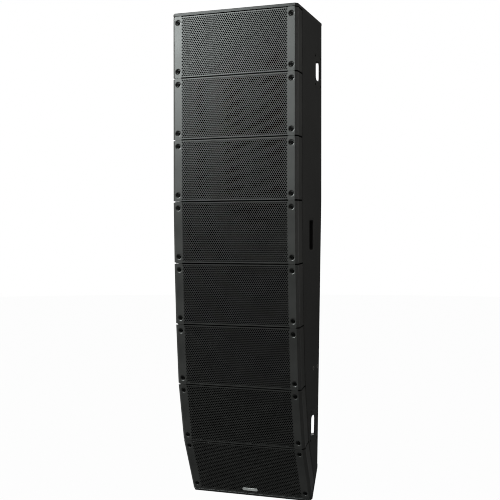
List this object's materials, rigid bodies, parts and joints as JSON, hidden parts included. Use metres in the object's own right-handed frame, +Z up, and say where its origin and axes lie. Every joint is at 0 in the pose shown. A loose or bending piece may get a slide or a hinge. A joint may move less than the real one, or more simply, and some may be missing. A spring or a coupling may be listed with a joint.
{
  "type": "line array loudspeaker",
  "caption": "Tall black column loudspeaker with stacked perforated grille modules in a J curve, hand grips in the sides and bracket inserts on the back.",
  "frame": {"origin": "bottom centre of the bounding box", "axes": "+Z up, the front faces -Y, X = 0 is the symmetry plane, +X is the right side seen from the front"},
  "size_m": [0.362, 0.245, 1.3621],
  "materials": {
    "grille_steel": "perforated steel sheet, satin black powder coat",
    "housing_plastic": "black moulded plastic, fine grain",
    "cap_plastic": "black moulded plastic, fine grain",
    "cabinet_ply": "plywood with a textured black paint",
    "batten_wood": "black stained wood",
    "grip_plastic": "black moulded plastic",
    "black_screw": "black oxide steel",
    "zinc_steel": "zinc plated",
    "basket_metal": "black painted pressed steel",
    "motor_steel": "zinc plated",
    "magnet_ferrite": "sintered, dark grey",
    "cone_paper": "coated fibre, matt black",
    "edge_rubber": "matt black",
    "spider_cloth": "resin-stiffened cloth",
    "dome_cloth": "coated cloth",
    "guide_plastic": "black moulded plastic",
    "plate_steel": "black painted steel",
    "socket_plastic": "black glass-filled plastic",
    "board_laminate": "green laminate",
    "copper_wire": "enamelled copper",
    "film_capacitor": "wrapped film",
    "cable_sheath": "black sheath",
    "polyester_wadding": "white felted fibre",
    "badge_metal": "satin"
  },
  "bodies": {
    "cabinet": {"grille_1": "grille_steel", "module_housing_1": "housing_plastic", "grille_2": "grille_steel", "module_housing_2": "housing_plastic", "grille_3": "grille_steel", "module_housing_3": "housing_plastic", "grille_4": "grille_steel", "module_housing_4": "housing_plastic", "grille_5": "grille_steel", "module_housing_5": "housing_plastic", "grille_6": "grille_steel", "module_housing_6": "housing_plastic", "grille_7": "grille_steel", "module_housing_7": "housing_plastic", "grille_8": "grille_steel", "module_housing_8": "housing_plastic", "woofer_baskets": "basket_metal", "woofer_surrounds": "edge_rubber", "woofer_spiders": "spider_cloth", "woofer_magnets": "magnet_ferrite", "woofer_motor_steel": "motor_steel", "woofer_screws": "black_screw", "waveguides": "guide_plastic", "tweeter_motors": "motor_steel", "cross_rails": "batten_wood", "module_screws": "black_screw", "handle_cups": "grip_plastic", "side_pockets": "grip_plastic", "threaded_inserts": "zinc_steel", "side_panel_left": "cabinet_ply", "side_panel_right": "cabinet_ply", "top_cap": "cap_plastic", "bottom_cap": "cap_plastic", "back_panel_upper": "cabinet_ply", "back_panel_lower": "cabinet_ply", "connector_plate": "plate_steel", "input_connectors": "socket_plastic", "panel_screws": "black_screw", "crossover_board": "board_laminate", "crossover_coils": "copper_wire", "crossover_capacitors": "film_capacitor", "wiring_harness": "cable_sheath", "damping_wadding": "polyester_wadding", "badge": "badge_metal"},
    "woofers_1": {"woofer_cones_1": "cone_paper"},
    "woofers_2": {"woofer_cones_2": "cone_paper"},
    "woofers_3": {"woofer_cones_3": "cone_paper"},
    "woofers_4": {"woofer_cones_4": "cone_paper"},
    "woofers_5": {"woofer_cones_5": "cone_paper"},
    "woofers_6": {"woofer_cones_6": "cone_paper"},
    "woofers_7": {"woofer_cones_7": "cone_paper"},
    "woofers_8": {"woofer_cones_8": "cone_paper"},
    "tweeters_1": {"tweeter_domes_1": "dome_cloth"},
    "tweeters_2": {"tweeter_domes_2": "dome_cloth"},
    "tweeters_3": {"tweeter_domes_3": "dome_cloth"},
    "tweeters_4": {"tweeter_domes_4": "dome_cloth"},
    "tweeters_5": {"tweeter_domes_5": "dome_cloth"},
    "tweeters_6": {"tweeter_domes_6": "dome_cloth"},
    "tweeters_7": {"tweeter_domes_7": "dome_cloth"},
    "tweeters_8": {"tweeter_domes_8": "dome_cloth"}
  },
  "joints": [
    {"name": "woofer_stroke_1", "type": "slide", "parent": "cabinet", "child": "woofers_1", "axis": [0, -1, 0], "range_m": [-0.003, 0.003]},
    {"name": "woofer_stroke_2", "type": "slide", "parent": "cabinet", "child": "woofers_2", "axis": [0, -1, 0], "range_m": [-0.003, 0.003]},
    {"name": "woofer_stroke_3", "type": "slide", "parent": "cabinet", "child": "woofers_3", "axis": [0, -1, 0], "range_m": [-0.003, 0.003]},
    {"name": "woofer_stroke_4", "type": "slide", "parent": "cabinet", "child": "woofers_4", "axis": [0, -0.9994, -0.0349], "range_m": [-0.003, 0.003]},
    {"name": "woofer_stroke_5", "type": "slide", "parent": "cabinet", "child": "woofers_5", "axis": [0, -0.9981, -0.061], "range_m": [-0.003, 0.003]},
    {"name": "woofer_stroke_6", "type": "slide", "parent": "cabinet", "child": "woofers_6", "axis": [0, -0.9954, -0.0958], "range_m": [-0.003, 0.003]},
    {"name": "woofer_stroke_7", "type": "slide", "parent": "cabinet", "child": "woofers_7", "axis": [0, -0.9763, -0.2164], "range_m": [-0.003, 0.003]},
    {"name": "woofer_stroke_8", "type": "slide", "parent": "cabinet", "child": "woofers_8", "axis": [0, -0.9063, -0.4226], "range_m": [-0.003, 0.003]},
    {"name": "tweeter_stroke_1", "type": "slide", "parent": "cabinet", "child": "tweeters_1", "axis": [0, -1, 0], "range_m": [-0.0003, 0.0003]},
    {"name": "tweeter_stroke_2", "type": "slide", "parent": "cabinet", "child": "tweeters_2", "axis": [0, -1, 0], "range_m": [-0.0003, 0.0003]},
    {"name": "tweeter_stroke_3", "type": "slide", "parent": "cabinet", "child": "tweeters_3", "axis": [0, -1, 0], "range_m": [-0.0003, 0.0003]},
    {"name": "tweeter_stroke_4", "type": "slide", "parent": "cabinet", "child": "tweeters_4", "axis": [0, -0.9994, -0.0349], "range_m": [-0.0003, 0.0003]},
    {"name": "tweeter_stroke_5", "type": "slide", "parent": "cabinet", "child": "tweeters_5", "axis": [0, -0.9981, -0.061], "range_m": [-0.0003, 0.0003]},
    {"name": "tweeter_stroke_6", "type": "slide", "parent": "cabinet", "child": "tweeters_6", "axis": [0, -0.9954, -0.0958], "range_m": [-0.0003, 0.0003]},
    {"name": "tweeter_stroke_7", "type": "slide", "parent": "cabinet", "child": "tweeters_7", "axis": [0, -0.9763, -0.2164], "range_m": [-0.0003, 0.0003]},
    {"name": "tweeter_stroke_8", "type": "slide", "parent": "cabinet", "child": "tweeters_8", "axis": [0, -0.9063, -0.4226], "range_m": [-0.0003, 0.0003]}
  ],
  "couplings": [
    {"joint": "woofer_stroke_2", "follows": "woofer_stroke_1", "ratio": 1},
    {"joint": "woofer_stroke_3", "follows": "woofer_stroke_1", "ratio": 1},
    {"joint": "woofer_stroke_4", "follows": "woofer_stroke_1", "ratio": 1},
    {"joint": "woofer_stroke_5", "follows": "woofer_stroke_1", "ratio": 1},
    {"joint": "woofer_stroke_6", "follows": "woofer_stroke_1", "ratio": 1},
    {"joint": "woofer_stroke_7", "follows": "woofer_stroke_1", "ratio": 1},
    {"joint": "woofer_stroke_8", "follows": "woofer_stroke_1", "ratio": 1},
    {"joint": "tweeter_stroke_2", "follows": "tweeter_stroke_1", "ratio": 1},
    {"joint": "tweeter_stroke_3", "follows": "tweeter_stroke_1", "ratio": 1},
    {"joint": "tweeter_stroke_4", "follows": "tweeter_stroke_1", "ratio": 1},
    {"joint": "tweeter_stroke_5", "follows": "tweeter_stroke_1", "ratio": 1},
    {"joint": "tweeter_stroke_6", "follows": "tweeter_stroke_1", "ratio": 1},
    {"joint": "tweeter_stroke_7", "follows": "tweeter_stroke_1", "ratio": 1},
    {"joint": "tweeter_stroke_8", "follows": "tweeter_stroke_1", "ratio": 1}
  ]
}
